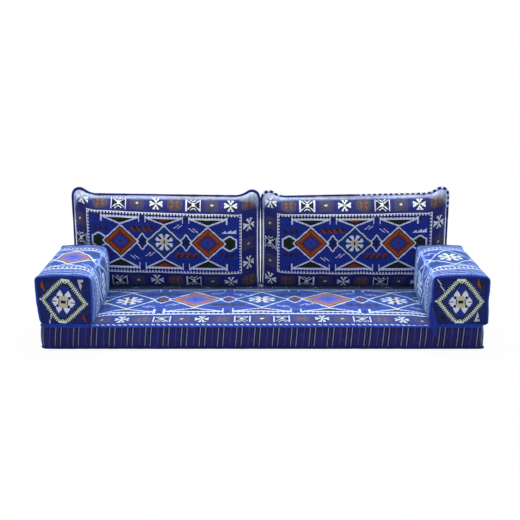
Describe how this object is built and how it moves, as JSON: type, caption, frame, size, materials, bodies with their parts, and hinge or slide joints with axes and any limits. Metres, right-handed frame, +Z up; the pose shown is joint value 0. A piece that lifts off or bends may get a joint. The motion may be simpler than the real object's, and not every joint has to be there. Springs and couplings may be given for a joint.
{
  "type": "floor sofa",
  "caption": "Low floor sofa of a long boxed seat mattress with loose back and arm cushions in zipped, welted covers of kilim-patterned cloth.",
  "frame": {"origin": "on the floor under the middle of the whole sofa", "axes": "+X along the sofa towards the sitter's left, which is the right in a front view; the sofa faces -Y; +Z up from the floor"},
  "size_m": [1.9602, 0.7196, 0.5977],
  "materials": {
    "kilim_cloth": "ribbed flat weave in navy with white, orange, maroon and green motifs",
    "striped_cloth": "ribbed weave with upright navy, maroon, lavender and green stripes",
    "plain_cloth": "plain navy weave",
    "welt_cord": "cloth-covered welt cord",
    "foam": "open-cell foam",
    "fibre_fill": "fibre-filled calico insert",
    "zip_tape": "woven zip tape",
    "zip_chain": "moulded zip teeth",
    "zip_metal": "nickelled zip slider and pull"
  },
  "bodies": {
    "seat": {"seat_bottom_panel": "plain_cloth", "seat_bottom_welt": "welt_cord", "seat_foam_core": "foam", "seat_front_border": "striped_cloth", "seat_left_border": "striped_cloth", "seat_rear_border": "striped_cloth", "seat_right_border": "striped_cloth", "seat_top_panel": "kilim_cloth", "seat_top_welt": "welt_cord", "seat_zip_chain": "zip_chain", "seat_zip_tapes": "zip_tape"},
    "seat_zip_slider": {"seat_zip_slider": "zip_metal"},
    "seat_zip_pull": {"seat_zip_pull": "zip_metal"},
    "left_back": {"left_back_front_panel": "kilim_cloth", "left_back_insert": "fibre_fill", "left_back_rear_panel": "kilim_cloth", "left_back_welt": "welt_cord", "left_back_zip_chain": "zip_chain", "left_back_zip_tapes": "zip_tape"},
    "left_back_zip_slider": {"left_back_zip_slider": "zip_metal"},
    "left_back_zip_pull": {"left_back_zip_pull": "zip_metal"},
    "right_back": {"right_back_front_panel": "kilim_cloth", "right_back_insert": "fibre_fill", "right_back_rear_panel": "kilim_cloth", "right_back_welt": "welt_cord", "right_back_zip_chain": "zip_chain", "right_back_zip_tapes": "zip_tape"},
    "right_back_zip_slider": {"right_back_zip_slider": "zip_metal"},
    "right_back_zip_pull": {"right_back_zip_pull": "zip_metal"},
    "left_arm": {"left_arm_bottom_panel": "plain_cloth", "left_arm_foam_core": "foam", "left_arm_front_panel": "kilim_cloth", "left_arm_front_welt": "welt_cord", "left_arm_inner_panel": "kilim_cloth", "left_arm_outer_panel": "kilim_cloth", "left_arm_rear_panel": "kilim_cloth", "left_arm_rear_welt": "welt_cord", "left_arm_top_panel": "kilim_cloth", "left_arm_zip_chain": "zip_chain", "left_arm_zip_tapes": "zip_tape"},
    "left_arm_zip_slider": {"left_arm_zip_slider": "zip_metal"},
    "left_arm_zip_pull": {"left_arm_zip_pull": "zip_metal"},
    "right_arm": {"right_arm_bottom_panel": "plain_cloth", "right_arm_foam_core": "foam", "right_arm_front_panel": "kilim_cloth", "right_arm_front_welt": "welt_cord", "right_arm_inner_panel": "kilim_cloth", "right_arm_outer_panel": "kilim_cloth", "right_arm_rear_panel": "kilim_cloth", "right_arm_rear_welt": "welt_cord", "right_arm_top_panel": "kilim_cloth", "right_arm_welt_tail": "welt_cord", "right_arm_zip_chain": "zip_chain", "right_arm_zip_tapes": "zip_tape"},
    "right_arm_zip_slider": {"right_arm_zip_slider": "zip_metal"},
    "right_arm_zip_pull": {"right_arm_zip_pull": "zip_metal"}
  },
  "joints": [
    {"name": "left_back_lift", "type": "slide", "parent": "seat", "child": "left_back", "axis": [0, 0, 1], "range_m": [0, 0.6]},
    {"name": "right_back_lift", "type": "slide", "parent": "seat", "child": "right_back", "axis": [0, 0, 1], "range_m": [0, 0.6]},
    {"name": "left_arm_lift", "type": "slide", "parent": "seat", "child": "left_arm", "axis": [0, 0, 1], "range_m": [0, 0.6]},
    {"name": "right_arm_lift", "type": "slide", "parent": "seat", "child": "right_arm", "axis": [0, 0, 1], "range_m": [0, 0.6]},
    {"name": "seat_zip_slide", "type": "slide", "parent": "seat", "child": "seat_zip_slider", "axis": [1, 0, 0], "range_m": [0, 1.3554]},
    {"name": "seat_zip_pull_swing", "type": "hinge", "parent": "seat_zip_slider", "child": "seat_zip_pull", "pos_m": [-0.6777, 0.35855, 0.0525], "axis": [0, 0, 1], "range_deg": [0, 180]},
    {"name": "left_back_zip_slide", "type": "slide", "parent": "left_back", "child": "left_back_zip_slider", "axis": [1, 0, 0], "range_m": [0, 0.4354]},
    {"name": "left_back_zip_pull_swing", "type": "hinge", "parent": "left_back_zip_slider", "child": "left_back_zip_pull", "pos_m": [-0.6773, 0.34805, 0.2013], "axis": [0, 0, 1], "range_deg": [0, 180]},
    {"name": "right_back_zip_slide", "type": "slide", "parent": "right_back", "child": "right_back_zip_slider", "axis": [1, 0, 0], "range_m": [0, 0.4354]},
    {"name": "right_back_zip_pull_swing", "type": "hinge", "parent": "right_back_zip_slider", "child": "right_back_zip_pull", "pos_m": [0.2419, 0.34805, 0.2013], "axis": [0, 0, 1], "range_deg": [0, 180]},
    {"name": "left_arm_zip_slide", "type": "slide", "parent": "left_arm", "child": "left_arm_zip_slider", "axis": [0, 1, 0], "range_m": [0, 0.3554]},
    {"name": "left_arm_zip_pull_swing", "type": "hinge", "parent": "left_arm_zip_slider", "child": "left_arm_zip_pull", "pos_m": [-0.97855, -0.2502, 0.1673], "axis": [0, 0, 1], "range_deg": [0, 180]},
    {"name": "right_arm_zip_slide", "type": "slide", "parent": "right_arm", "child": "right_arm_zip_slider", "axis": [0, 1, 0], "range_m": [0, 0.3554]},
    {"name": "right_arm_zip_pull_swing", "type": "hinge", "parent": "right_arm_zip_slider", "child": "right_arm_zip_pull", "pos_m": [0.97855, -0.2502, 0.1673], "axis": [0, 0, -1], "range_deg": [0, 180]}
  ]
}
